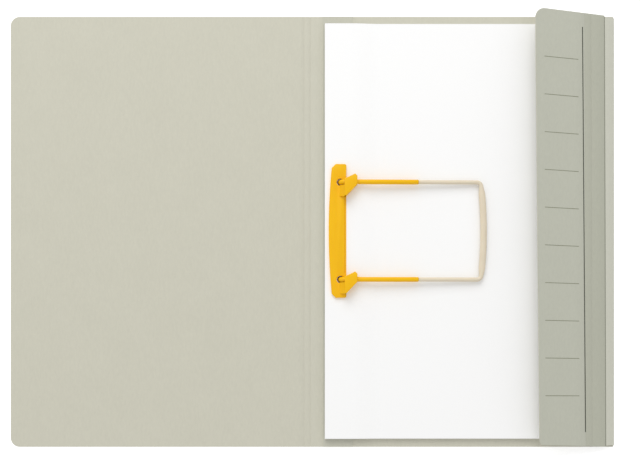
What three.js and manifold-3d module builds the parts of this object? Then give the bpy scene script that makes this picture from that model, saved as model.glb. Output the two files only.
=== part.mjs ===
// A foolscap flap folder lying open on its back: a scored card cover with a
// spine, a side flap on a narrow gusset, a glued filing strip, and a tube clip
// that holds a punched stack of paper under a pressure bar. Millimetres, +Z up.
// X runs across the open folder from the front cover to the flap, Y runs up the page.

import * as THREE from 'three';
import { mergeVertices } from 'three/addons/utils/BufferGeometryUtils.js';
import Module from 'manifold-3d';

const wasm = await Module();
wasm.setup();

// The paper
const paperWidth = 216;
const paperHeight = 343;
const paperThickness = 4;
const paperOffset = 3.5;
const paperSlope = 22;
const punchDiameter = 6;

// The card cover
const cardThickness = 0.6;
const frontWidth = 238.5;
const spineWidth = 18.7;
const flapMargin = 24.3;
const headMargin = 7;
const cornerRadius = 7.5;
const foldGap = 0.4;
const scoreDepth = 0.25;
const scoreWidth = 0.7;
const scoreSpacing = 5.2;
const spineScores = 2;

// The side flap on its gusset, a little narrower at its lower end. Its ends are
// trimmed short of the cover and slope up the page towards its free edge.
const gussetWidthUpper = 11;
const gussetWidthLower = 9.6;
const gussetAngle = 27;
const flapWidthUpper = 62.3;
const flapWidthLower = 59.8;
const flapAngle = 14.5;
const gussetInset = 1.5;
const flapInset = 0.7;
const flapSlantUpper = 2;
const flapSlantLower = 3.2;
const flapCornerUpper = 8.5;
const flapCornerLower = 3.5;

// The filing strip glued inside the back cover
const stripThickness = 0.6;
const stripWidth = 24.8;
const stripOffset = 2.1;
const stripLift = 4.5;

// The tube clip
const holeSpacing = 80;
const holeOffset = 16.7;
const prongDiameter = 4;
const prongBore = 2.6;
const boreDepth = 27;
const prongReach = 63.7;
const prongBend = 3.4;
const prongSlope = 1.75;
const baseLength = 104;
const baseWidth = 11;
const baseThickness = 0.8;
const prongClearance = 0.4;
const seatClearance = 0.3;

// The pressure bar with its two claws
const barLength = 110;
const barThickness = 2.2;
const barEndWidth = 12;
const barMiddleWidth = 14.4;
const barHoleDiameter = 6;
const barOverhang = 4.5;
const barChamfer = 3.3;
const barLedgeWidth = 1.5;
const barLedgeThickness = 0.5;
const barLedgeMargin = 5.5;
const clawReach = 9;
const clawRoof = 1.4;
const clawRun = 9.6;
const clawOverlap = 6.3;
const clawHeel = 2.8;
const clawTip = 1.8;
const clawRampWidth = 5.5;

// The bow that plugs into the prongs
const bowDiameter = 3.5;
const bowLegLength = 52;
const bowBulge = 2;
const bowCornerRadius = 3.6;
const bowGripWidth = 5.4;
const spigotDiameter = 2.2;
const spigotLength = 24;

const arcSteps = 8;
const roundSides = 16;

// Places that follow from the sizes
const coverHeight = paperHeight + 2 * headMargin;
const backWidth = paperOffset + paperWidth + flapMargin;
const openWidth = frontWidth + spineWidth + backWidth;
const frontEdge = -openWidth / 2;
const frontFold = frontEdge + frontWidth;
const backFold = frontFold + spineWidth;
const flapFold = backFold + backWidth;
const stripLeft = backFold + stripOffset;
const holeX = backFold + holeOffset;
const holeYs = [holeSpacing / 2, -holeSpacing / 2];
const prongRadius = prongDiameter / 2;
const stripRaise = baseThickness + seatClearance;
const paperLeft = backFold + paperOffset;
const paperSeat = cardThickness + stripRaise + stripThickness;
const paperTop = paperSeat + paperThickness;
const barTop = paperTop + barThickness;
const prongAxisZ = barTop + prongClearance + prongRadius;
const slope = THREE.MathUtils.degToRad(prongSlope);
const prongDirection = new THREE.Vector3(Math.cos(slope), 0, -Math.sin(slope));

const folder = new THREE.Group();

function finish(color, roughness) {
  return new THREE.MeshStandardMaterial({ color, roughness, metalness: 0 });
}

const cardFinish = finish('#cbc9be', 0.8);
const flapFinish = finish('#bcbdaf', 0.75);
const paperFinish = finish('#f6f5f1', 0.9);
const yellowPlastic = finish('#f2b91a', 0.4);
const ivoryPlastic = finish('#e2d6be', 0.4);

function addPiece(name, geometry, material) {
  const piece = new THREE.Mesh(geometry, material);
  piece.name = name;
  folder.add(piece);
}

// Boolean work on closed three.js meshes
function toSolid(geometry) {
  const bare = geometry.clone();
  bare.deleteAttribute('normal');
  bare.deleteAttribute('uv');
  const merged = mergeVertices(bare, 1e-4);
  const triVerts = new Uint32Array(merged.index.array);
  const vertProperties = new Float32Array(merged.attributes.position.array);
  return new wasm.Manifold(new wasm.Mesh({ numProp: 3, vertProperties, triVerts }));
}

function fromSolid(solid) {
  const mesh = solid.getMesh();
  const geometry = new THREE.BufferGeometry();
  geometry.setAttribute('position', new THREE.BufferAttribute(mesh.vertProperties, 3));
  geometry.setIndex(new THREE.BufferAttribute(mesh.triVerts, 1));
  return geometry;
}

// A plan outline raised from z by a height
function slab(shape, z, height) {
  const geometry = new THREE.ExtrudeGeometry(shape, {
    depth: height,
    bevelEnabled: false,
    curveSegments: arcSteps,
  });
  geometry.translate(0, 0, z);
  return geometry;
}

// A section drawn in X and Z, run along Y and centred on Y = 0
function sectionAlongY(shape, length) {
  const geometry = new THREE.ExtrudeGeometry(shape, { depth: length, bevelEnabled: false });
  geometry.rotateX(Math.PI / 2);
  geometry.translate(0, length / 2, 0);
  return geometry;
}

function rectangle(left, right, bottom, top) {
  const shape = new THREE.Shape();
  shape.moveTo(left, bottom);
  shape.lineTo(right, bottom);
  shape.lineTo(right, top);
  shape.lineTo(left, top);
  shape.closePath();
  return shape;
}

function uprightCylinder(x, y, bottom, top, diameter) {
  const geometry = new THREE.CylinderGeometry(diameter / 2, diameter / 2, top - bottom, roundSides);
  geometry.rotateX(Math.PI / 2);
  geometry.translate(x, y, (top + bottom) / 2);
  return geometry;
}

// A sheet between a lower and an upper grid of points, closed round its edge
function sheet(lower, upper) {
  const rows = lower.length;
  const columns = lower[0].length;
  const positions = [];
  const face = (a, b, c, d) => {
    for (const point of [a, b, c, a, c, d]) {
      positions.push(point.x, point.y, point.z);
    }
  };
  for (let row = 0; row < rows - 1; row += 1) {
    for (let column = 0; column < columns - 1; column += 1) {
      const ring = (grid) => [
        grid[row][column],
        grid[row + 1][column],
        grid[row + 1][column + 1],
        grid[row][column + 1],
      ];
      face(...ring(upper));
      face(...ring(lower).reverse());
    }
  }
  for (let row = 0; row < rows - 1; row += 1) {
    const last = columns - 1;
    face(lower[row][0], lower[row + 1][0], upper[row + 1][0], upper[row][0]);
    face(lower[row + 1][last], lower[row][last], upper[row][last], upper[row + 1][last]);
  }
  for (let column = 0; column < columns - 1; column += 1) {
    const last = rows - 1;
    face(lower[0][column + 1], lower[0][column], upper[0][column], upper[0][column + 1]);
    face(lower[last][column], lower[last][column + 1], upper[last][column + 1], upper[last][column]);
  }
  const geometry = new THREE.BufferGeometry();
  geometry.setAttribute('position', new THREE.Float32BufferAttribute(positions, 3));
  return geometry;
}

// A round or oval rod along a path
function rod(path, radiusAcross, radiusUp, steps) {
  const section = new THREE.Shape();
  section.absellipse(0, 0, radiusUp, radiusAcross, 0, 2 * Math.PI);
  return new THREE.ExtrudeGeometry(section, {
    steps,
    curveSegments: roundSides / 2,
    bevelEnabled: false,
    extrudePath: path,
  });
}

// Front cover: the left leaf, with its two free corners rounded
function frontCoverShape() {
  const top = coverHeight / 2;
  const shape = new THREE.Shape();
  shape.moveTo(frontFold - foldGap / 2, -top);
  shape.lineTo(frontFold - foldGap / 2, top);
  shape.lineTo(frontEdge + cornerRadius, top);
  shape.absarc(frontEdge + cornerRadius, top - cornerRadius, cornerRadius, Math.PI / 2, Math.PI);
  shape.lineTo(frontEdge, cornerRadius - top);
  shape.absarc(frontEdge + cornerRadius, cornerRadius - top, cornerRadius, Math.PI, 1.5 * Math.PI);
  shape.closePath();
  return shape;
}

addPiece('front_cover', slab(frontCoverShape(), 0, cardThickness), cardFinish);

// Spine: the strip between the two folds, with score lines pressed into its inner face
function spineSection() {
  const left = frontFold + foldGap / 2;
  const right = backFold - foldGap / 2;
  const shape = new THREE.Shape();
  shape.moveTo(left, 0);
  shape.lineTo(right, 0);
  shape.lineTo(right, cardThickness);
  for (let score = spineScores; score > 0; score -= 1) {
    const x = frontFold + scoreSpacing * score;
    shape.lineTo(x + scoreWidth / 2, cardThickness);
    shape.lineTo(x, cardThickness - scoreDepth);
    shape.lineTo(x - scoreWidth / 2, cardThickness);
  }
  shape.lineTo(left, cardThickness);
  shape.closePath();
  return shape;
}

addPiece('spine', sectionAlongY(spineSection(), coverHeight), cardFinish);

// Back cover: the right leaf, between the spine fold and the flap fold
const backCoverShape = rectangle(
  backFold + foldGap / 2,
  flapFold - foldGap,
  -coverHeight / 2,
  coverHeight / 2,
);
addPiece('back_cover', slab(backCoverShape, 0, cardThickness), cardFinish);

// Gusset and flap: two flat panels that meet at the gusset crease, from the fold at
// the back cover's inner face to the flap's free edge
const upperEnd = {
  side: 1,
  gussetWidth: gussetWidthUpper,
  flapWidth: flapWidthUpper,
  slant: flapSlantUpper,
  corner: flapCornerUpper,
};
const lowerEnd = {
  side: -1,
  gussetWidth: gussetWidthLower,
  flapWidth: flapWidthLower,
  slant: flapSlantLower,
  corner: flapCornerLower,
};

function cardDirections(degrees) {
  const angle = THREE.MathUtils.degToRad(degrees);
  return {
    along: new THREE.Vector3(-Math.cos(angle), 0, Math.sin(angle)),
    outward: new THREE.Vector3(Math.sin(angle), 0, Math.cos(angle)),
  };
}

const gussetCard = cardDirections(gussetAngle);
const flapCard = cardDirections(flapAngle);

function gussetPoint(end, reach) {
  const y = end.side * (coverHeight / 2 - gussetInset);
  return new THREE.Vector3(flapFold, y, cardThickness).addScaledVector(gussetCard.along, reach);
}

// Points along one end of the gusset
function gussetEndPoints(end) {
  return [gussetPoint(end, foldGap), gussetPoint(end, end.gussetWidth - foldGap / 2)];
}

// Points along one end of the flap, round its free corner
function flapEndPoints(end) {
  const crease = gussetPoint(end, end.gussetWidth);
  const straight = end.flapWidth - end.corner;
  const reaches = [{ reach: foldGap / 2, rounding: 0 }];
  for (let step = 0; step <= arcSteps; step += 1) {
    const turn = (Math.PI / 2) * (step / arcSteps);
    reaches.push({
      reach: straight + end.corner * Math.sin(turn),
      rounding: end.corner * (1 - Math.cos(turn)),
    });
  }
  return reaches.map(({ reach, rounding }) => {
    const point = crease.clone().addScaledVector(flapCard.along, reach);
    point.y = end.side * (coverHeight / 2 - flapInset - rounding);
    point.y += (end.slant * reach) / end.flapWidth;
    return point;
  });
}

function panelGeometry(upperPoints, lowerPoints, card) {
  const inner = upperPoints.map((point, i) => [point, lowerPoints[i]]);
  const outer = inner.map((row) => row.map(
    (point) => point.clone().addScaledVector(card.outward, cardThickness),
  ));
  return sheet(inner, outer);
}

const gussetPanel = panelGeometry(gussetEndPoints(upperEnd), gussetEndPoints(lowerEnd), gussetCard);
addPiece('gusset', gussetPanel, flapFinish);

const flapPanel = panelGeometry(flapEndPoints(upperEnd), flapEndPoints(lowerEnd), flapCard);
addPiece('flap', flapPanel, flapFinish);

// Filing strip: glued down along its edges and lifted over the clip's base
const ease = (share) => THREE.MathUtils.smoothstep(share, 0, 1);

function stripHeight(x, y) {
  const acrossStart = holeX - baseWidth / 2 - seatClearance - stripLift;
  const acrossEnd = holeX + baseWidth / 2 + seatClearance + stripLift;
  const across = Math.min(x - acrossStart, acrossEnd - x) / stripLift;
  const along = (baseLength / 2 + seatClearance + stripLift - Math.abs(y)) / stripLift;
  return stripRaise * ease(across) * ease(along);
}

function stripGeometry() {
  const columns = [stripLeft];
  const rows = [-coverHeight / 2];
  const liftSteps = 4;
  const left = holeX - baseWidth / 2 - seatClearance;
  const right = holeX + baseWidth / 2 + seatClearance;
  const end = baseLength / 2 + seatClearance;
  for (let step = 0; step <= liftSteps; step += 1) {
    columns.push(left - stripLift * (1 - step / liftSteps));
    rows.push(-end - stripLift * (1 - step / liftSteps));
  }
  for (let step = 0; step <= liftSteps; step += 1) {
    columns.push(right + stripLift * (step / liftSteps));
    rows.push(end + stripLift * (step / liftSteps));
  }
  columns.push(stripLeft + stripWidth);
  rows.push(coverHeight / 2);
  columns.sort((a, b) => a - b);
  rows.sort((a, b) => a - b);
  const inside = (x) => x >= stripLeft && x <= stripLeft + stripWidth;
  const grid = (extra) => columns.filter(inside).map(
    (x) => rows.map((y) => new THREE.Vector3(x, y, cardThickness + stripHeight(x, y) + extra)),
  );
  return sheet(grid(0), grid(stripThickness));
}

let strip = toSolid(stripGeometry());
for (const y of holeYs) {
  const hole = uprightCylinder(holeX, y, 0, paperTop, prongDiameter + 2 * prongClearance);
  strip = strip.subtract(toSolid(hole));
}
addPiece('filing_strip', fromSolid(strip), cardFinish);

// Paper: one punched stack, held up by the clip at its left edge and settling
// down onto the back cover further right
function paperSection() {
  const settled = cardThickness;
  const slopeStart = stripLeft + stripWidth;
  const slopeSteps = 5;
  const below = [];
  for (let step = 0; step <= slopeSteps; step += 1) {
    const share = step / slopeSteps;
    below.push(new THREE.Vector2(
      slopeStart + paperSlope * share,
      THREE.MathUtils.lerp(paperSeat, settled, ease(share)),
    ));
  }
  const shape = new THREE.Shape();
  shape.moveTo(paperLeft, paperSeat);
  for (const point of below) {
    shape.lineTo(point.x, point.y);
  }
  shape.lineTo(paperLeft + paperWidth, settled);
  shape.lineTo(paperLeft + paperWidth, settled + paperThickness);
  for (const point of below.reverse()) {
    shape.lineTo(point.x, point.y + paperThickness);
  }
  shape.lineTo(paperLeft, paperTop);
  shape.closePath();
  return shape;
}

let paper = toSolid(sectionAlongY(paperSection(), paperHeight));
for (const y of holeYs) {
  const hole = uprightCylinder(holeX, y, 0, barTop, punchDiameter);
  paper = paper.subtract(toSolid(hole));
}
addPiece('paper_stack', fromSolid(paper), paperFinish);

// The path of a prong: up from the base, bent over the bar and out over the paper
function prongPath(y) {
  const knee = new THREE.Vector3(holeX, y, prongAxisZ);
  const bendStart = knee.clone().setZ(prongAxisZ - prongBend);
  const bendEnd = knee.clone().addScaledVector(prongDirection, prongBend);
  const tip = knee.clone().addScaledVector(prongDirection, prongReach);
  const path = new THREE.CurvePath();
  path.add(new THREE.LineCurve3(new THREE.Vector3(holeX, y, cardThickness + baseThickness / 2), bendStart));
  path.add(new THREE.QuadraticBezierCurve3(bendStart, knee, bendEnd));
  path.add(new THREE.LineCurve3(bendEnd, tip));
  return { path, tip };
}

const prongSteps = 32;

// Clip base: a flat strip between the filing strip and the back cover, moulded
// in one with two hollow-ended prongs
const baseShape = rectangle(
  holeX - baseWidth / 2,
  holeX + baseWidth / 2,
  -baseLength / 2,
  baseLength / 2,
);
let clipBase = toSolid(slab(baseShape, cardThickness, baseThickness));
for (const y of holeYs) {
  const { path, tip } = prongPath(y);
  clipBase = clipBase.add(toSolid(rod(path, prongRadius, prongRadius, prongSteps)));
  const start = tip.clone().addScaledVector(prongDirection, -boreDepth);
  const end = tip.clone().addScaledVector(prongDirection, prongRadius);
  const bore = rod(new THREE.LineCurve3(start, end), prongBore / 2, prongBore / 2, 1);
  clipBase = clipBase.subtract(toSolid(bore));
}
addPiece('clip_base', fromSolid(clipBase), yellowPlastic);

// Pressure bar: straight with a low ledge towards the paper's middle, and arched
// on its other side
const barRight = holeX + barOverhang;
const clawTop = prongAxisZ + prongRadius + prongClearance + clawRoof;

function barShape() {
  const half = barLength / 2;
  const endLeft = barRight - barEndWidth;
  const middleLeft = barRight - barMiddleWidth;
  const shape = new THREE.Shape();
  shape.moveTo(barRight, -half);
  shape.lineTo(barRight, half);
  shape.lineTo(endLeft + barChamfer, half);
  shape.lineTo(endLeft, half - barChamfer);
  shape.quadraticCurveTo(2 * middleLeft - endLeft, 0, endLeft, barChamfer - half);
  shape.lineTo(endLeft + barChamfer, -half);
  shape.closePath();
  return shape;
}

// A claw stands on the bar's edge below its prong, and its blunt tip reaches over it
function clawShape(y) {
  const shape = new THREE.Shape();
  shape.moveTo(barRight - barLedgeWidth, y + clawHeel);
  shape.lineTo(barRight - barLedgeWidth, y - prongRadius - clawRun);
  shape.lineTo(barRight, y - prongRadius - clawRun);
  shape.lineTo(barRight + clawReach, y - prongRadius);
  shape.lineTo(barRight + clawReach, y + clawOverlap - clawTip);
  shape.lineTo(barRight + clawReach - clawTip, y + clawOverlap);
  shape.lineTo(barRight, y + clawHeel);
  shape.closePath();
  return shape;
}

// The ramp by which the bar's top rises to a claw
function clawRampSection() {
  const shape = new THREE.Shape();
  shape.moveTo(barRight - clawRampWidth, paperTop);
  shape.lineTo(barRight, paperTop);
  shape.lineTo(barRight, clawTop);
  shape.lineTo(barRight - clawRampWidth, barTop);
  shape.closePath();
  return shape;
}

let bar = toSolid(slab(barShape(), paperTop, barThickness));
const ledgeHalf = holeSpacing / 2 - barLedgeMargin;
const ledgeCut = rectangle(barRight - barLedgeWidth, barRight + barLedgeWidth, -ledgeHalf, ledgeHalf);
bar = bar.subtract(toSolid(slab(ledgeCut, paperTop + barLedgeThickness, barThickness)));
for (const y of holeYs) {
  const claw = slab(clawShape(y), paperTop, clawTop - paperTop);
  const ramp = sectionAlongY(clawRampSection(), clawRun - prongClearance);
  ramp.translate(0, y - prongRadius - (clawRun + prongClearance) / 2, 0);
  bar = bar.add(toSolid(claw)).add(toSolid(ramp));
}
for (const y of holeYs) {
  const { path } = prongPath(y);
  const clear = prongRadius + prongClearance;
  bar = bar.subtract(toSolid(rod(path, clear, clear, prongSteps)));
  const hole = uprightCylinder(holeX - prongClearance, y, paperSeat, clawTop, barHoleDiameter);
  bar = bar.subtract(toSolid(hole));
  const mouth = rectangle(barRight, barRight + 2 * clawReach, y, y + 2 * clawOverlap);
  bar = bar.subtract(toSolid(slab(mouth, barTop, 2 * clear)));
}
addPiece('pressure_bar', fromSolid(bar), yellowPlastic);

// Bow: a round U whose slim spigots plug into the prongs, with a wider cross-bar
function bowPoint(reach, y) {
  const point = new THREE.Vector3(holeX, y, prongAxisZ);
  return point.addScaledVector(prongDirection, reach);
}

function bowPaths() {
  const [top, bottom] = holeYs;
  const legEnd = prongReach + bowLegLength - bowCornerRadius;
  const corner = prongReach + bowLegLength;
  const legStart = prongReach + seatClearance;
  const cross = new THREE.QuadraticBezierCurve3(
    bowPoint(corner, top - bowCornerRadius),
    bowPoint(corner + 2 * bowBulge, 0),
    bowPoint(corner, bottom + bowCornerRadius),
  );
  const whole = new THREE.CurvePath();
  const turn = (side) => new THREE.QuadraticBezierCurve3(
    bowPoint(legEnd, side),
    bowPoint(corner, side),
    bowPoint(corner, side - Math.sign(side) * bowCornerRadius),
  );
  const lastTurn = turn(bottom);
  whole.add(new THREE.LineCurve3(bowPoint(legStart, top), bowPoint(legEnd, top)));
  whole.add(turn(top));
  whole.add(cross);
  whole.add(new THREE.QuadraticBezierCurve3(lastTurn.v2, lastTurn.v1, lastTurn.v0));
  whole.add(new THREE.LineCurve3(bowPoint(legEnd, bottom), bowPoint(legStart, bottom)));
  return { whole, cross };
}

const bowSteps = 54;
const gripSteps = 16;
const { whole: bowPath, cross: gripPath } = bowPaths();
let bow = toSolid(rod(bowPath, bowDiameter / 2, bowDiameter / 2, bowSteps));
bow = bow.add(toSolid(rod(gripPath, bowGripWidth / 2, bowDiameter / 2, gripSteps)));
for (const y of holeYs) {
  const spigotPath = new THREE.LineCurve3(
    bowPoint(prongReach - spigotLength, y),
    bowPoint(prongReach + bowDiameter, y),
  );
  bow = bow.add(toSolid(rod(spigotPath, spigotDiameter / 2, spigotDiameter / 2, 1)));
}
addPiece('bow', fromSolid(bow), ivoryPlastic);

export default folder;
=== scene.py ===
# A foolscap flap folder lying open, seen from above: card cover, filing strip,
# punched paper, and a yellow and ivory tube clip.
import math
import random

import bmesh
import bpy
from mathutils import Matrix, Vector


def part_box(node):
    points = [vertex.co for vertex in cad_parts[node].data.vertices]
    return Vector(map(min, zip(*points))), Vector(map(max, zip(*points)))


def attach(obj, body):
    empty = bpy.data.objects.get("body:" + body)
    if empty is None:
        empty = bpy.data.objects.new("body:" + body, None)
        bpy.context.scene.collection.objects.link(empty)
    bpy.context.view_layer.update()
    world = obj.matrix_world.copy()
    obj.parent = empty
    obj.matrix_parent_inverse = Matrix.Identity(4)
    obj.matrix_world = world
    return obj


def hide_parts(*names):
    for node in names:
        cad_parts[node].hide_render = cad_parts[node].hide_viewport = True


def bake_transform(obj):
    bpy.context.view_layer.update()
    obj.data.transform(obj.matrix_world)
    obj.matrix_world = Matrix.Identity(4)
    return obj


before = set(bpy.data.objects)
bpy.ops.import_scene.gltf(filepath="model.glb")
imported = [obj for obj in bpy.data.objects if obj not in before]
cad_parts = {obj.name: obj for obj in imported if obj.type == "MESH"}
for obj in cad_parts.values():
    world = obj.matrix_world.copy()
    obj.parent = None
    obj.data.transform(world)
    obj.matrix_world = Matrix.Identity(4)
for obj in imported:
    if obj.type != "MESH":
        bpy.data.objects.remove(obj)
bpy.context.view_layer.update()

MM = 0.001

# Camera: close over the open folder, square to it, with the lens slid a little
# towards the folder's lower edge.
frame_width = 531.9 * MM
camera_height = 800 * MM
lens_slide = 0.145
aim_x = 6.3 * MM
aim_y = -2.6 * MM

camera_data = bpy.data.cameras.new("camera")
camera_data.sensor_width = 36
camera_data.lens = camera_data.sensor_width * camera_height / frame_width
camera_data.shift_y = lens_slide
camera = bpy.data.objects.new("camera", camera_data)
bpy.context.collection.objects.link(camera)
camera.location = (aim_x, aim_y - lens_slide * frame_width, camera_height)
bpy.context.scene.camera = camera


# Card cover: one sheet of coated filing board, paler inside than out, scored and
# folded into a front leaf, a spine, a back leaf and a side flap on a gusset.
# It is made as three leaves, cut finely across the folds, that meet at a score line.
card = 0.6 * MM
half_height = 178.5 * MM
front_fold = -12 * MM
back_fold = 6.7 * MM
score_spacing = 5.2 * MM
score_width = 0.8 * MM
score_depth = 0.2 * MM
cover_corner = 7.5 * MM
hidden_seam = 200 * MM
fold_half = 1.3 * MM
fold_cuts = 4
leaf_rows = 12
inner_card_hex = ("CDCBBB", "C8C6B6")
outer_card_hex = ("BDBEB0", "B9BAAC")
band_card_hex = ("B4B5A6", "B0B1A2")
# The gusset's outer face is painted paler than the rest of the outer card: painted light.
gusset_painted_light_hex = ("CCCCBF", "C8C8BA")
# The narrow line along the gusset crease is painted dark: painted shade in the crease.
crease_painted_shade_hex = ("8E8F82", "88897B")
raw_card_hex = ("CCC9BA", "C2BEAC")


def srgb(code):
    channels = [int(code[i : i + 2], 16) / 255 for i in (0, 2, 4)]
    linear = [c / 12.92 if c <= 0.04045 else ((c + 0.055) / 1.055) ** 2.4 for c in channels]
    return (*linear, 1)


def add_node(owner, kind, settings=None, links=None):
    tree = owner.node_tree
    node = tree.nodes.new(kind)
    for name, value in (settings or {}).items():
        if isinstance(name, int) or name in node.inputs:
            node.inputs[name].default_value = value
        else:
            setattr(node, name, value)
    for name, output in (links or {}).items():
        tree.links.new(output, node.inputs[name])
    return node


def new_material(name):
    material = bpy.data.materials.new(name)
    material.use_nodes = True
    material.node_tree.nodes.clear()
    return material


# Coated filing board: clay-coated card with a dull sheen, faint cloudy patches
# from the pulp, short fibres under the coating, and fine scuffs.
def coated_card(name, tones):
    material = new_material(name)
    place = add_node(material, "ShaderNodeTexCoord").outputs["Object"]
    cloud = add_node(
        material,
        "ShaderNodeTexNoise",
        {"Scale": 1 / 0.03, "Detail": 5, "Roughness": 0.6},
        {"Vector": place},
    )
    stretched = add_node(
        material, "ShaderNodeMapping", {"Scale": (1, 0.35, 1)}, {"Vector": place}
    )
    fibre = add_node(
        material,
        "ShaderNodeTexNoise",
        {"Scale": 1 / 0.0014, "Detail": 3, "Roughness": 0.7},
        {"Vector": stretched.outputs[0]},
    )
    clouded = add_node(
        material,
        "ShaderNodeMix",
        {"data_type": "RGBA", 6: srgb(tones[0]), 7: srgb(tones[1])},
        {0: cloud.outputs[0]},
    )
    speck = add_node(
        material,
        "ShaderNodeMapRange",
        {"From Min": 0.25, "From Max": 0.75, "To Min": 0.965, "To Max": 1.035},
        {"Value": fibre.outputs[0]},
    )
    colour = add_node(
        material,
        "ShaderNodeVectorMath",
        {"operation": "SCALE"},
        {"Vector": clouded.outputs[2], "Scale": speck.outputs[0]},
    )
    roughness = add_node(
        material,
        "ShaderNodeMapRange",
        {"From Min": 0.3, "From Max": 0.7, "To Min": 0.5, "To Max": 0.64},
        {"Value": fibre.outputs[0]},
    )
    bump = add_node(
        material,
        "ShaderNodeBump",
        {"Strength": 0.12, "Distance": 0.06 * MM},
        {"Height": fibre.outputs[0]},
    )
    shader = add_node(
        material,
        "ShaderNodeBsdfPrincipled",
        {"IOR": 1.45, "Specular IOR Level": 0.35},
        {
            "Base Color": colour.outputs[0],
            "Roughness": roughness.outputs[0],
            "Normal": bump.outputs[0],
        },
    )
    add_node(material, "ShaderNodeOutputMaterial", {}, {"Surface": shader.outputs[0]})
    return material


inner_card = coated_card("coated_card_inside", inner_card_hex)
outer_card = coated_card("coated_card_outside", outer_card_hex)
band_card = coated_card("coated_card_creased_band", band_card_hex)
raw_card = coated_card("cut_card_edge", raw_card_hex)
# Painted light: a paler copy of the outer card for the gusset's face.
painted_light_gusset_card = coated_card("coated_card_gusset_painted_light", gusset_painted_light_hex)
# Painted shade: a dark copy of the card for the line along the gusset crease.
crease_painted_shade = coated_card("crease_painted_shade", crease_painted_shade_hex)


def add_piece(name, bm, materials):
    mesh = bpy.data.meshes.new(name)
    bm.to_mesh(mesh)
    bm.free()
    for material in materials:
        mesh.materials.append(material)
    piece = bpy.data.objects.new(name, mesh)
    bpy.context.collection.objects.link(piece)
    return piece


def smooth(piece, angle):
    for polygon in piece.data.polygons:
        polygon.use_smooth = True
    piece.data.set_sharp_from_angle(angle=math.radians(angle))


def cut_across(bm, x):
    everything = bm.verts[:] + bm.edges[:] + bm.faces[:]
    bmesh.ops.bisect_plane(bm, geom=everything, plane_co=(x, 0, 0), plane_no=(1, 0, 0), dist=1e-7)


def flat_leaf(left, right):
    bm = bmesh.new()
    bmesh.ops.create_grid(bm, x_segments=1, y_segments=leaf_rows, size=1)
    bmesh.ops.scale(bm, vec=((right - left) / 2, half_height, 1), verts=bm.verts)
    bmesh.ops.translate(bm, vec=((left + right) / 2, 0, card), verts=bm.verts)
    return bm


def press_score(bm, x):
    for offset in (-score_width / 2, 0, score_width / 2):
        cut_across(bm, x + offset)
    for vert in bm.verts:
        if abs(vert.co.x - x) < 1e-6:
            vert.co.z -= score_depth


def ease_fold(bm, x):
    for step in range(-fold_cuts, fold_cuts + 1):
        cut_across(bm, x + fold_half * step / fold_cuts)


def thicken_card(bm, thickness):
    bmesh.ops.recalc_face_normals(bm, faces=bm.faces)
    if bm.faces[:][0].normal.z < 0:
        bmesh.ops.reverse_faces(bm, faces=bm.faces)
    inner_faces = set(bm.faces)
    result = bmesh.ops.solidify(bm, geom=bm.faces[:], thickness=thickness)
    outer_faces = {f for f in result["geom"] if isinstance(f, bmesh.types.BMFace)}
    for vert in bm.verts:
        vert.co.z = max(vert.co.z, 0)
    for face in bm.faces:
        if face in inner_faces:
            face.material_index = 0
        elif face in outer_faces:
            face.material_index = 1
        else:
            face.material_index = 2


score_seam = front_fold + 2 * score_spacing
front_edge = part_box("front_cover")[0][0]

bm = flat_leaf(front_edge, score_seam)
free_corners = [v for v in bm.verts if v.co.x < front_edge + MM and abs(v.co.y) > half_height - MM]
bmesh.ops.bevel(
    bm,
    geom=free_corners,
    offset=cover_corner,
    segments=8,
    profile=0.5,
    affect="VERTICES",
    material=-1,
)
ease_fold(bm, front_fold)
press_score(bm, front_fold + score_spacing)
press_score(bm, score_seam)
thicken_card(bm, card)
front_leaf = add_piece("front_leaf", bm, [inner_card, outer_card, raw_card])
smooth(front_leaf, 35)
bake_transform(front_leaf)
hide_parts("front_cover", "spine")

bm = flat_leaf(score_seam, hidden_seam)
press_score(bm, score_seam)
ease_fold(bm, back_fold)
thicken_card(bm, card)
back_leaf = add_piece("back_leaf", bm, [inner_card, outer_card, raw_card])
smooth(back_leaf, 35)
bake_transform(back_leaf)


# Side flap: the same card turned over in a tight round fold, then creased at the
# gusset. Its ends are trimmed short of the cover, and its free corners are round.
flap_fold = 250.5 * MM
gusset_width = (11 * MM, 9.6 * MM)
gusset_angle = math.radians(27)
flap_width = (62.3 * MM, 59.8 * MM)
flap_angle = math.radians(14.5)
gusset_inset = 1.5 * MM
flap_inset = 0.7 * MM
flap_slant = (2 * MM, 3.2 * MM)
flap_corner = (8.5 * MM, 3.5 * MM)
bend_radius = 0.12 * MM
bend_inset = 0.82 * MM
fold_x = flap_fold - bend_inset
bend_steps = 8
flap_scores = (12 * MM, 18 * MM)
crease_half = 0.5 * MM
crease_sink = 0.2 * MM
flap_rows = 28
corner_steps = 10


def card_directions(angle):
    """The way along the card towards the free edge, and the way out of its outer face."""
    along = Vector((-math.cos(angle), 0, math.sin(angle)))
    return along, Vector((math.sin(angle), 0, math.cos(angle)))


gusset_along, _ = card_directions(gusset_angle)
leaf_along, leaf_out = card_directions(flap_angle)


def crease_point(share):
    """The gusset crease, at a share of the way down the page."""
    width = gusset_width[0] + (gusset_width[1] - gusset_width[0]) * share
    return Vector((flap_fold, 0, card)) + width * gusset_along


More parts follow.
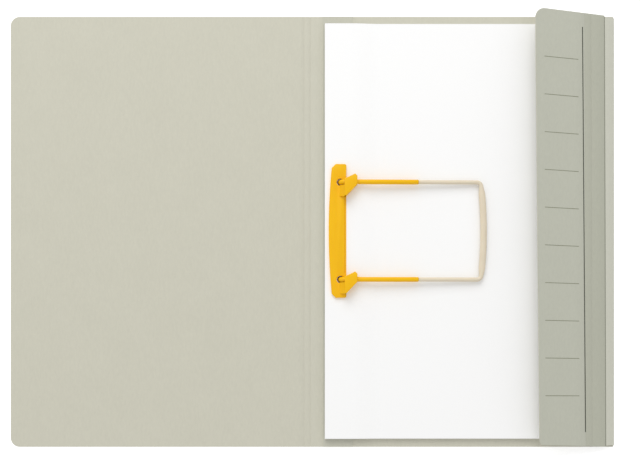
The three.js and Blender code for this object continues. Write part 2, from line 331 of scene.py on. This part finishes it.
def flap_section(end):
    """The inner face along the flap's upper end, 0, or lower end, 1, from under the paper."""
    side = 1 - 2 * end
    centre = Vector((fold_x, 0, card + bend_radius))
    points = [Vector((hidden_seam, side * half_height, card))]
    for step in range(bend_steps + 1):
        turn = (math.pi - gusset_angle) * step / bend_steps
        point = centre + bend_radius * Vector((math.sin(turn), 0, -math.cos(turn)))
        point.y = side * (half_height - (gusset_inset if step else 0))
        points.append(point)
    crease = crease_point(end)
    points.append(crease - gusset_along * crease_half)
    points.append(crease - leaf_out * crease_sink)
    for point in points[-2:]:
        point.y = side * (half_height - gusset_inset)
    straight = flap_width[end] - flap_corner[end]
    reaches = [(crease_half, 0, 0)]
    for score in flap_scores:
        reaches += [(score - score_width / 2, 0, 0), (score, score_depth, 0)]
        reaches += [(score + score_width / 2, 0, 0)]
    reaches += [(straight * 0.5, 0, 0), (straight * 0.75, 0, 0)]
    for step in range(corner_steps + 1):
        turn = math.pi / 2 * step / corner_steps
        reach = straight + flap_corner[end] * math.sin(turn)
        reaches.append((reach, 0, flap_corner[end] * (1 - math.cos(turn))))
    for reach, sink, rounding in reaches:
        point = crease + leaf_along * reach - leaf_out * sink
        point.y = side * (half_height - flap_inset - rounding)
        point.y += flap_slant[end] * reach / flap_width[end]
        points.append(point)
    return points


upper_end, lower_end = flap_section(0), flap_section(1)
stations = len(upper_end)
bm = bmesh.new()
bmesh.ops.create_grid(bm, x_segments=stations - 1, y_segments=flap_rows, size=1)
for vert in bm.verts:
    station = round((vert.co.x + 1) / 2 * (stations - 1))
    vert.co = upper_end[station].lerp(lower_end[station], (1 - vert.co.y) / 2)
band_left = (crease_point(0) + leaf_along * flap_scores[1]).x
bm.normal_update()
on_back = [f for f in bm.faces if all(v.co.z < card + MM / 100 for v in f.verts)]
if on_back[0].normal.z < 0:
    bmesh.ops.reverse_faces(bm, faces=bm.faces)
inner_faces = set(bm.faces)
result = bmesh.ops.solidify(bm, geom=bm.faces[:], thickness=card)
outer_faces = {f for f in result["geom"] if isinstance(f, bmesh.types.BMFace)}
for face in bm.faces:
    middle = face.calc_center_median()
    if face in inner_faces:
        face.material_index = 0
    elif face in outer_faces:
        from_crease = crease_point((1 - middle.y / half_height) / 2).x - middle.x
        if middle.z < card:
            face.material_index = 1
        # Faces along the crease take the painted shade.
        elif abs(from_crease) < crease_half:
            face.material_index = 5
        # Faces on the gusset, beyond the crease, take the painted light.
        elif from_crease < 0:
            face.material_index = 4
        else:
            face.material_index = 3 if middle.x > band_left else 1
    else:
        face.material_index = 2
flap_cards = [inner_card, outer_card, raw_card, band_card, painted_light_gusset_card, crease_painted_shade]
side_flap = add_piece("side_flap", bm, flap_cards)
smooth(side_flap, 28)
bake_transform(side_flap)
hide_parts("flap", "gusset", "back_cover")


# Index print on the flap: one long rule beside the gusset and ten short ruled
# lines, offset-printed in dark olive ink.
rule_reaches = (20.1 * MM, 18.5 * MM)
rule_width = 0.85 * MM
rule_ends = (166.5 * MM, -165.7 * MM)
line_count = 10
line_spacing = 30.6 * MM
line_first = 139.5 * MM
line_reaches = (54.5 * MM, 24 * MM)
line_slant = 0.02
line_width = 0.55 * MM
line_pieces = 6
rule_pieces = 24
ink_lift = 0.03 * MM


def flap_point(reach, y):
    point = crease_point((1 - y / half_height) / 2)
    point += leaf_along * reach + leaf_out * (card + ink_lift)
    point.y = y + line_slant * reach
    return point


def ink_stroke(bm, start, end, width, steps):
    bm_start = len(bm.verts)
    bmesh.ops.create_grid(bm, x_segments=steps, y_segments=1, size=1)
    bm.verts.ensure_lookup_table()
    for vert in bm.verts[bm_start:]:
        share = (vert.co.x + 1) / 2
        reach = start[0] + (end[0] - start[0]) * share
        y = start[1] + (end[1] - start[1]) * share
        if abs(end[1] - start[1]) > abs(end[0] - start[0]):
            reach += vert.co.y * width / 2
        else:
            y += vert.co.y * width / 2
        vert.co = flap_point(reach, y)


def printed_ink(name, tones):
    material = new_material(name)
    place = add_node(material, "ShaderNodeTexCoord").outputs["Object"]
    grain = add_node(
        material, "ShaderNodeTexNoise", {"Scale": 1 / 0.0006, "Detail": 2}, {"Vector": place}
    )
    colour = add_node(
        material,
        "ShaderNodeMix",
        {"data_type": "RGBA", 6: srgb(tones[0]), 7: srgb(tones[1])},
        {0: grain.outputs[0]},
    )
    roughness = add_node(
        material,
        "ShaderNodeMapRange",
        {"To Min": 0.5, "To Max": 0.7},
        {"Value": grain.outputs[0]},
    )
    shader = add_node(
        material,
        "ShaderNodeBsdfPrincipled",
        {"IOR": 1.5},
        {"Base Color": colour.outputs[2], "Roughness": roughness.outputs[0]},
    )
    add_node(material, "ShaderNodeOutputMaterial", {}, {"Surface": shader.outputs[0]})
    return material


bm = bmesh.new()
rule_top = (rule_reaches[0], rule_ends[0])
rule_bottom = (rule_reaches[1], rule_ends[1])
ink_stroke(bm, rule_top, rule_bottom, rule_width, rule_pieces)
rule_print = add_piece("rule_print", bm, [printed_ink("olive_print", ("30332A", "474A3B"))])
bm = bmesh.new()
for line in range(line_count):
    y = line_first - line * line_spacing
    ink_stroke(bm, (line_reaches[0], y), (line_reaches[1], y), line_width, line_pieces)
index_print = add_piece("index_print", bm, [printed_ink("faint_print", ("72745F", "8D8F7B"))])
for printed in (rule_print, index_print):
    bm = bmesh.new()
    bm.from_mesh(printed.data)
    bm.normal_update()
    bmesh.ops.reverse_faces(bm, faces=[f for f in bm.faces if f.normal.z < 0])
    bm.to_mesh(printed.data)
    bm.free()
    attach(printed, "flap")


# Filing strip: a strip of the same board glued inside the back leaf, with two
# punched holes. The solid's own shape is right, and takes the card's finish.
strip_card_hex = ("C6C5B6", "C1C0B1")
strip = bpy.data.objects["filing_strip"]
strip.data.materials.clear()
strip.data.materials.append(coated_card("coated_card_strip", strip_card_hex))


# Paper: forty plain sheets, knocked together by hand so that their edges are not
# quite true. The left edge rides on the clip's base and the rest sags to the card.
sheet_count = 40
sheet_pitch = 0.1 * MM
sheet_gap = 0.008 * MM
stray = 0.22 * MM
slip_share = 0.6
sheet_turn = 0.0005
paper_low, paper_high = (Vector(corner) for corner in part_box("paper_stack"))
paper_lift = 1.7 * MM
sag_start = 33.6 * MM
sag_length = 22 * MM
sag_cuts = 6
hole_x = 23.4 * MM
hole_ys = (40 * MM, -40 * MM)
punch_radius = 3 * MM
punch_sides = 20


# Copy paper: uncoated white stock, matt, with a soft felt of fibres.
def copy_paper():
    material = new_material("copy_paper")
    place = add_node(material, "ShaderNodeTexCoord").outputs["Object"]
    fibre = add_node(
        material,
        "ShaderNodeTexNoise",
        {"Scale": 1 / 0.0009, "Detail": 3, "Roughness": 0.7},
        {"Vector": place},
    )
    colour = add_node(
        material,
        "ShaderNodeMix",
        {"data_type": "RGBA", 6: srgb("FAFAF9"), 7: srgb("FFFFFF")},
        {0: fibre.outputs[0]},
    )
    roughness = add_node(
        material,
        "ShaderNodeMapRange",
        {"To Min": 0.78, "To Max": 0.92},
        {"Value": fibre.outputs[0]},
    )
    bump = add_node(
        material,
        "ShaderNodeBump",
        {"Strength": 0.1, "Distance": 0.02 * MM},
        {"Height": fibre.outputs[0]},
    )
    shader = add_node(
        material,
        "ShaderNodeBsdfPrincipled",
        {"IOR": 1.5, "Specular IOR Level": 0.2},
        {
            "Base Color": colour.outputs[2],
            "Roughness": roughness.outputs[0],
            "Normal": bump.outputs[0],
        },
    )
    add_node(material, "ShaderNodeOutputMaterial", {}, {"Surface": shader.outputs[0]})
    return material


def sag(x):
    share = min(1, max(0, (x - sag_start) / sag_length))
    return paper_lift * (1 - share * share * (3 - 2 * share))


random.seed(11)
bm = bmesh.new()
outline = bmesh.ops.create_grid(bm, x_segments=1, y_segments=1, size=1)["verts"]
width = paper_high.x - paper_low.x - 2 * stray
height = paper_high.y - paper_low.y - 2 * stray
bmesh.ops.scale(bm, vec=(width / 2, height / 2, 1), verts=outline)
bmesh.ops.translate(bm, vec=((paper_low.x + paper_high.x) / 2, 0, 0), verts=outline)
bmesh.ops.delete(bm, geom=bm.faces[:], context="FACES_ONLY")
for y in hole_ys:
    ring = bmesh.ops.create_circle(bm, segments=punch_sides, radius=punch_radius)
    bmesh.ops.translate(bm, vec=(hole_x, y, 0), verts=ring["verts"])
bmesh.ops.triangle_fill(bm, use_beauty=True, use_dissolve=False, edges=bm.edges[:])
for step in range(sag_cuts + 1):
    cut_across(bm, sag_start + sag_length * step / sag_cuts)
bm.normal_update()
bmesh.ops.reverse_faces(bm, faces=[f for f in bm.faces if f.normal.z < 0])
bmesh.ops.solidify(bm, geom=bm.faces[:], thickness=sheet_pitch - sheet_gap)
bottom = min(v.co.z for v in bm.verts)
bmesh.ops.translate(bm, vec=(0, 0, -bottom), verts=bm.verts)
first_sheet = bm.verts[:] + bm.edges[:] + bm.faces[:]
for sheet_number in range(1, sheet_count):
    copied = bmesh.ops.duplicate(bm, geom=first_sheet)["geom"]
    verts = [v for v in copied if isinstance(v, bmesh.types.BMVert)]
    turn = Matrix.Rotation(random.uniform(-sheet_turn, sheet_turn), 4, "Z")
    slip = Vector((random.uniform(-1, 1), random.uniform(-1, 1), 0)) * stray * slip_share
    slip.z = sheet_number * sheet_pitch
    bmesh.ops.transform(bm, matrix=Matrix.Translation(slip) @ turn, verts=verts)
for vert in bm.verts:
    vert.co.z += card + sag(vert.co.x)
paper = add_piece("paper_sheets", bm, [copy_paper()])
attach(paper, "back")
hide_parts("paper_stack")


# Clip base: a flat strip of flexible yellow plastic held under the filing strip,
# moulded in one with two round prongs whose ends are hollow.
yellow_hex = ("F8C004", "F2B704")
base_half = (5.5 * MM, 52 * MM, 0.4 * MM)
base_corner = 2 * MM
prong_radius = 2 * MM
prong_wall = 0.7 * MM
bore_depth = 27 * MM
prong_axis_z = 10.9 * MM
prong_reach = 63.7 * MM
prong_bend = 3.4 * MM
prong_slope = math.radians(1.75)
prong_sides = 24
prong_bend_steps = 10
prong_chamfer = 0.4 * MM
prong_tip = 0.88
bend_turn = math.pi / 2 + prong_slope
along_prong = Vector((math.cos(prong_slope), 0, -math.sin(prong_slope)))


# Moulded polypropylene: a soft waxy sheen, slightly see-through at the edges, with
# faint flow marks and a fine moulded grain.
def moulded_plastic(name, tones, roughness_range, glow):
    material = new_material(name)
    place = add_node(material, "ShaderNodeTexCoord").outputs["Object"]
    flow = add_node(
        material,
        "ShaderNodeTexNoise",
        {"Scale": 1 / 0.012, "Detail": 3, "Roughness": 0.5},
        {"Vector": place},
    )
    grain = add_node(
        material,
        "ShaderNodeTexNoise",
        {"Scale": 1 / 0.0005, "Detail": 2, "Roughness": 0.6},
        {"Vector": place},
    )
    colour = add_node(
        material,
        "ShaderNodeMix",
        {"data_type": "RGBA", 6: srgb(tones[0]), 7: srgb(tones[1])},
        {0: flow.outputs[0]},
    )
    roughness = add_node(
        material,
        "ShaderNodeMapRange",
        {"To Min": roughness_range[0], "To Max": roughness_range[1]},
        {"Value": grain.outputs[0]},
    )
    bump = add_node(
        material,
        "ShaderNodeBump",
        {"Strength": 0.08, "Distance": 0.03 * MM},
        {"Height": grain.outputs[0]},
    )
    shader = add_node(
        material,
        "ShaderNodeBsdfPrincipled",
        {
            "IOR": 1.49,
            "Specular IOR Level": 0.25,
            "Subsurface Weight": glow,
            "Subsurface Radius": (1.0, 0.6, 0.3),
            "Subsurface Scale": 0.5 * MM,
        },
        {
            "Base Color": colour.outputs[2],
            "Roughness": roughness.outputs[0],
            "Normal": bump.outputs[0],
        },
    )
    add_node(material, "ShaderNodeOutputMaterial", {}, {"Surface": shader.outputs[0]})
    return material


yellow_plastic = moulded_plastic("yellow_polypropylene", yellow_hex, (0.3, 0.44), 0.05)


def extrude_ring(bm, edges, move):
    made = bmesh.ops.extrude_edge_only(bm, edges=edges)["geom"]
    verts = [g for g in made if isinstance(g, bmesh.types.BMVert)]
    bmesh.ops.translate(bm, vec=move, verts=verts)
    return [g for g in made if isinstance(g, bmesh.types.BMEdge)], verts


def scale_ring(verts, factor):
    middle = sum((v.co for v in verts), Vector()) / len(verts)
    for vert in verts:
        vert.co = middle + (vert.co - middle) * factor


def spin_ring(bm, edges, centre, axis, angle, steps):
    made = bmesh.ops.spin(
        bm,
        geom=edges,
        cent=centre,
        axis=axis,
        angle=angle,
        steps=steps,
    )["geom_last"]
    verts = [g for g in made if isinstance(g, bmesh.types.BMVert)]
    return [g for g in made if isinstance(g, bmesh.types.BMEdge)], verts


def finish_shell(bm):
    bmesh.ops.remove_doubles(bm, verts=bm.verts, dist=1e-7)
    bmesh.ops.recalc_face_normals(bm, faces=bm.faces)


bm = bmesh.new()
bmesh.ops.create_cube(bm, size=2)
bmesh.ops.scale(bm, vec=base_half, verts=bm.verts)
bmesh.ops.translate(bm, vec=(hole_x, 0, card + base_half[2]), verts=bm.verts)
upright = [e for e in bm.edges if abs(e.verts[0].co.z - e.verts[1].co.z) > 1e-5]
bmesh.ops.bevel(
    bm,
    geom=upright,
    offset=base_corner,
    segments=5,
    profile=0.5,
    affect="EDGES",
    material=-1,
)
for y in hole_ys:
    ring = bmesh.ops.create_circle(bm, segments=prong_sides, radius=prong_radius)
    verts = ring["verts"]
    edges = list({e for v in verts for e in v.link_edges})
    bmesh.ops.translate(bm, vec=(hole_x, y, card + base_half[2]), verts=verts)
    rise = prong_axis_z - prong_bend - card - base_half[2]
    edges, verts = extrude_ring(bm, edges, (0, 0, rise))
    centre = Vector((hole_x + prong_bend, y, prong_axis_z - prong_bend))
    edges, verts = spin_ring(bm, edges, centre, (0, 1, 0), bend_turn, prong_bend_steps)
    straight = prong_reach - prong_bend
    edges, verts = extrude_ring(bm, edges, along_prong * (straight - prong_chamfer))
    edges, verts = extrude_ring(bm, edges, along_prong * prong_chamfer)
    scale_ring(verts, prong_tip)
    edges, verts = extrude_ring(bm, edges, (0, 0, 0))
    scale_ring(verts, (prong_radius - prong_wall) / (prong_radius * prong_tip))
    edges, verts = extrude_ring(bm, edges, -along_prong * bore_depth)
    bmesh.ops.contextual_create(bm, geom=edges)
finish_shell(bm)
clip_base = add_piece("clip_strip_and_prongs", bm, [yellow_plastic])
smooth(clip_base, 40)
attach(clip_base, "back")
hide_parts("clip_base")


# Pressure bar: a stiff yellow moulding that spreads the prongs' pull over the
# paper, straight on one side and arched on the other, with a claw beside each hole.
bar_half = 55 * MM
bar_right = 27.9 * MM
bar_end_left = 15.9 * MM
bar_middle_left = 13.5 * MM
bar_chamfer = 3.3 * MM
bar_corner = 0.9 * MM
bar_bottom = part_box("pressure_bar")[0][2]
bar_thickness = 2.2 * MM
bar_round = 0.5 * MM
ledge_width = 1.5 * MM
ledge_thickness = 0.5 * MM
ledge_half = 34.5 * MM
ledge_clear = 0.01 * MM
bar_steps = 24
bar_hole_x = 23 * MM
bar_hole_radius = 3 * MM
bar_hole_steps = 24
claw_reach = 9 * MM
claw_run = 9.6 * MM
claw_over = 6.3 * MM
claw_heel = 2.8 * MM
claw_tip = 1.8 * MM
claw_top = 14.7 * MM
claw_clearance = 0.4 * MM
claw_ramp = 5.5 * MM
claw_round = 0.6 * MM
channel_length = 60 * MM
channel_width = 20 * MM


def plan_loop(bm, points, z):
    verts = [bm.verts.new((x, y, z)) for x, y in points]
    return [bm.edges.new((verts[i], verts[(i + 1) % len(verts)])) for i in range(len(verts))]


def raise_plan(bm, loops, height):
    """Fill an outline with its holes, and raise it into a slab."""
    before = set(bm.faces)
    bmesh.ops.triangle_fill(bm, use_beauty=True, use_dissolve=True, edges=loops)
    faces = [f for f in bm.faces if f not in before]
    made = bmesh.ops.extrude_face_region(bm, geom=faces)["geom"]
    verts = [g for g in made if isinstance(g, bmesh.types.BMVert)]
    bmesh.ops.translate(bm, vec=(0, 0, height), verts=verts)
    return [g for g in made if isinstance(g, bmesh.types.BMFace)]


def bar_outline():
    inner_right = bar_right - ledge_width
    points = [
        (bar_right - bar_corner, -bar_half),
        (bar_right, bar_corner - bar_half),
        (bar_right, -ledge_half),
        (inner_right, -ledge_half),
        (inner_right, ledge_half),
        (bar_right, ledge_half),
        (bar_right, bar_half - bar_corner),
        (bar_right - bar_corner, bar_half),
        (bar_end_left + bar_chamfer, bar_half),
    ]
    end_y = bar_half - bar_chamfer
    for step in range(bar_steps + 1):
        y = end_y * (1 - 2 * step / bar_steps)
        bulge = 1 - (y / end_y) ** 2
        points.append((bar_end_left - (bar_end_left - bar_middle_left) * bulge, y))
    points.append((bar_end_left + bar_chamfer, -bar_half))
    return points


def hole_outline(y):
    turns = [2 * math.pi * step / bar_hole_steps for step in range(bar_hole_steps)]
    return [
        (bar_hole_x + bar_hole_radius * math.cos(turn), y + bar_hole_radius * math.sin(turn))
        for turn in turns
    ]


bar = bmesh.new()
loops = plan_loop(bar, bar_outline(), bar_bottom)
for y in hole_ys:
    loops += plan_loop(bar, hole_outline(y), bar_bottom)
raise_plan(bar, loops, bar_thickness)
finish_shell(bar)
top_faces = {f for f in bar.faces if f.normal.z > 0.99}
rim = [e for e in bar.edges if sum(f in top_faces for f in e.link_faces) == 1]
bmesh.ops.bevel(
    bar,
    geom=rim,
    offset=bar_round,
    segments=3,
    profile=0.5,
    affect="EDGES",
    material=-1,
    clamp_overlap=True,
)

ledge_points = [
    (bar_right - ledge_width - bar_round, -ledge_half),
    (bar_right, -ledge_half),
    (bar_right, ledge_half),
    (bar_right - ledge_width - bar_round, ledge_half),
]
raise_plan(bar, plan_loop(bar, ledge_points, bar_bottom + ledge_clear), ledge_thickness)

for y in hole_ys:
    ramp_ends = (y - prong_radius - claw_clearance, y - prong_radius - claw_run)
    ramp_points = [
        (bar_right - claw_ramp, ramp_ends[0]),
        (bar_right - claw_ramp, ramp_ends[1]),
        (bar_right, ramp_ends[1]),
        (bar_right, ramp_ends[0]),
    ]
    ramp_bottom = bar_bottom + bar_thickness - bar_round
    ramp_loop = plan_loop(bar, ramp_points, ramp_bottom)
    for face in raise_plan(bar, ramp_loop, claw_top - claw_round / 2 - ramp_bottom):
        for vert in face.verts:
            if vert.co.x < bar_right - claw_ramp / 2:
                vert.co.z = bar_bottom + bar_thickness
    claw = bmesh.new()
    claw_points = [
        (bar_right - ledge_width, y + claw_heel),
        (bar_right - ledge_width, y - prong_radius - claw_run),
        (bar_right, y - prong_radius - claw_run),
        (bar_right + claw_reach, y - prong_radius),
        (bar_right + claw_reach, y + claw_over - claw_tip),
        (bar_right + claw_reach - claw_tip, y + claw_over),
        (bar_right, y + claw_heel),
    ]
    roof_bottom = prong_axis_z + prong_radius + claw_clearance
    below = y - prong_radius - claw_clearance
    raise_plan(claw, plan_loop(claw, claw_points, bar_bottom), claw_top - bar_bottom)
    finish_shell(claw)
    claw_piece = add_piece("claw", claw, [])
    cutter = bmesh.new()
    bmesh.ops.create_cube(cutter, size=1)
    channel_height = roof_bottom - bar_bottom - bar_thickness + claw_clearance
    channel = (channel_length, channel_width, channel_height)
    bmesh.ops.scale(cutter, vec=channel, verts=cutter.verts)
    middle = (bar_right, below + channel_width / 2, roof_bottom - channel_height / 2)
    bmesh.ops.translate(cutter, vec=middle, verts=cutter.verts)
    cutter_piece = add_piece("channel", cutter, [])
    cut = claw_piece.modifiers.new("channel", "BOOLEAN")
    cut.object = cutter_piece
    cut.operation = "DIFFERENCE"
    cut.solver = "EXACT"
    rounded = claw_piece.modifiers.new("round", "BEVEL")
    rounded.width = claw_round
    rounded.segments = 3
    rounded.limit_method = "ANGLE"
    bpy.context.view_layer.update()
    shaped = claw_piece.evaluated_get(bpy.context.evaluated_depsgraph_get())
    bar.from_mesh(shaped.to_mesh())
    shaped.to_mesh_clear()
    for used in (claw_piece, cutter_piece):
        used_mesh = used.data
        bpy.data.objects.remove(used)
        bpy.data.meshes.remove(used_mesh)

bmesh.ops.recalc_face_normals(bar, faces=bar.faces)
pressure_bar = add_piece("clip_pressure_bar", bar, [yellow_plastic])
smooth(pressure_bar, 35)
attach(pressure_bar, "back")
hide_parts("pressure_bar")


# Bow: a round ivory rod moulded in a U, with a wider cross-bar to pull on and
# slim spigots that push into the prongs.
ivory_hex = ("E6DAC4", "DCCFB6")
bow_radius = 1.75 * MM
bow_leg = 52 * MM
bow_bulge = 2 * MM
bow_corner = 3.6 * MM
grip_spread = 5.4 / 3.5
spigot_radius = 1.1 * MM
spigot_length = 24 * MM
spigot_chamfer = 0.3 * MM
spigot_tip = 0.8
leg_chamfer = 0.25 * MM
leg_tip = 0.85
grip_run = 6 * MM
bow_gap = 0.3 * MM
bow_sides = 24
bow_corner_steps = 8
cross_steps = 12
corner_guess = 0.8
ivory_plastic = moulded_plastic("ivory_polypropylene", ivory_hex, (0.3, 0.45), 0.05)

# The cross-bar's curve starts from a guess at the share of the corner that it gives
# up, which sets its turn, and then takes the half width that the corner leaves.
cross_half = hole_ys[0] - bow_corner * corner_guess
cross_radius = (cross_half**2 + bow_bulge**2) / (2 * bow_bulge)
cross_turn = math.asin(cross_half / cross_radius)
corner_turn = math.pi / 2 - cross_turn
corner_drop = bow_corner * (1 - math.cos(corner_turn))
cross_half = hole_ys[0] - corner_drop
cross_radius = cross_half / math.sin(cross_turn)
leg_start = prong_reach + bow_gap
leg_end = prong_reach + bow_leg - bow_corner

bm = bmesh.new()
tip_radius = spigot_radius * spigot_tip
ring = bmesh.ops.create_circle(bm, cap_ends=True, segments=bow_sides, radius=tip_radius)
verts = ring["verts"]
edges = list({e for v in verts for e in v.link_edges})
bmesh.ops.rotate(bm, cent=(0, 0, 0), matrix=Matrix.Rotation(math.pi / 2, 3, "Y"), verts=verts)
bmesh.ops.translate(bm, vec=(prong_reach - spigot_length, hole_ys[0], 0), verts=verts)
edges, verts = extrude_ring(bm, edges, (spigot_chamfer, 0, 0))
scale_ring(verts, 1 / spigot_tip)
edges, verts = extrude_ring(bm, edges, (spigot_length + bow_gap - spigot_chamfer, 0, 0))
edges, verts = extrude_ring(bm, edges, (0, 0, 0))
scale_ring(verts, leg_tip * bow_radius / spigot_radius)
edges, verts = extrude_ring(bm, edges, (leg_chamfer, 0, 0))
scale_ring(verts, 1 / leg_tip)
edges, verts = extrude_ring(bm, edges, (leg_end - leg_start - leg_chamfer, 0, 0))
corner = Vector((leg_end, hole_ys[0] - bow_corner, 0))
edges, verts = spin_ring(bm, edges, corner, (0, 0, -1), corner_turn, bow_corner_steps)
turned = sum((v.co for v in verts), Vector()) / len(verts)
outward = (turned - corner).normalized()
cross_centre = turned - outward * cross_radius
first_cross = len(bm.verts)
edges, verts = spin_ring(bm, edges, cross_centre, (0, 0, -1), cross_turn, cross_steps)
bm.verts.ensure_lookup_table()
for vert in bm.verts[first_cross:]:
    spread = (grip_spread - 1) * min(1, (cross_half - abs(vert.co.y)) / grip_run)
    away = vert.co - cross_centre
    away.z = 0
    vert.co += away.normalized() * (away.length - cross_radius) * spread
half = bm.verts[:] + bm.edges[:] + bm.faces[:]
bmesh.ops.mirror(bm, geom=half, matrix=Matrix.Identity(4), merge_dist=1e-5, axis="Y")
lean = Matrix.Rotation(prong_slope, 4, "Y")
place = Matrix.Translation((hole_x, 0, prong_axis_z)) @ lean
bmesh.ops.transform(bm, matrix=place, verts=bm.verts)
finish_shell(bm)
bow = add_piece("ivory_bow", bm, [ivory_plastic])
smooth(bow, 40)
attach(bow, "bow")
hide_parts("bow")


# Table: a white floor. Seen by the camera it is a little brighter than lit, so that
# only the object's own shadow shows on it.
floor_half = 6
floor_drop = 0.05 * MM
floor_glow = 0.4
bm = bmesh.new()
bmesh.ops.create_grid(bm, x_segments=1, y_segments=1, size=floor_half)
bmesh.ops.translate(bm, vec=(0, 0, -floor_drop), verts=bm.verts)


def where_seen(owner, unseen, seen):
    """One value for rays that light the object, and another where the camera looks."""
    rays = add_node(owner, "ShaderNodeLightPath")
    straight = add_node(
        owner,
        "ShaderNodeMath",
        {"operation": "MAXIMUM"},
        {0: rays.outputs["Is Camera Ray"], 1: rays.outputs["Is Glossy Ray"]},
    )
    looking = add_node(
        owner,
        "ShaderNodeMath",
        {"operation": "MAXIMUM"},
        {0: straight.outputs[0], 1: rays.outputs["Is Transmission Ray"]},
    )
    value = add_node(
        owner,
        "ShaderNodeMapRange",
        {"To Min": unseen, "To Max": seen},
        {"Value": looking.outputs[0]},
    )
    return value.outputs[0]


floor_paint = new_material("white_floor")
floor_shader = add_node(
    floor_paint,
    "ShaderNodeBsdfPrincipled",
    {
        "Base Color": srgb("F6F6F6"),
        "Roughness": 1,
        "Specular IOR Level": 0,
        "Emission Color": (1, 1, 1, 1),
    },
    {"Emission Strength": where_seen(floor_paint, 0, floor_glow)},
)
add_node(floor_paint, "ShaderNodeOutputMaterial", {}, {"Surface": floor_shader.outputs[0]})
floor = add_piece("floor", bm, [floor_paint])


# Light: a bright even room, and one broad lamp high beyond the folder's upper left.
# The room looks white, and lights the folder a little less.
room_light = 0.73
lamp_size = 1.6
lamp_energy = 25
lamp_place = (-0.35, 1.75, 1.6)
world = bpy.data.worlds.new("room")
bpy.context.scene.world = world
world.use_nodes = True
room = world.node_tree.nodes["Background"]
room.inputs["Color"].default_value = (1, 1, 1, 1)
world.node_tree.links.new(where_seen(world, room_light, 1), room.inputs["Strength"])

lamp_data = bpy.data.lights.new("window", "AREA")
lamp_data.shape = "SQUARE"
lamp_data.size = lamp_size
lamp_data.energy = lamp_energy
lamp = bpy.data.objects.new("window", lamp_data)
bpy.context.collection.objects.link(lamp)
lamp.location = lamp_place
lamp.rotation_euler = lamp.location.to_track_quat("Z", "Y").to_euler()

bpy.context.scene.view_settings.view_transform = "Standard"
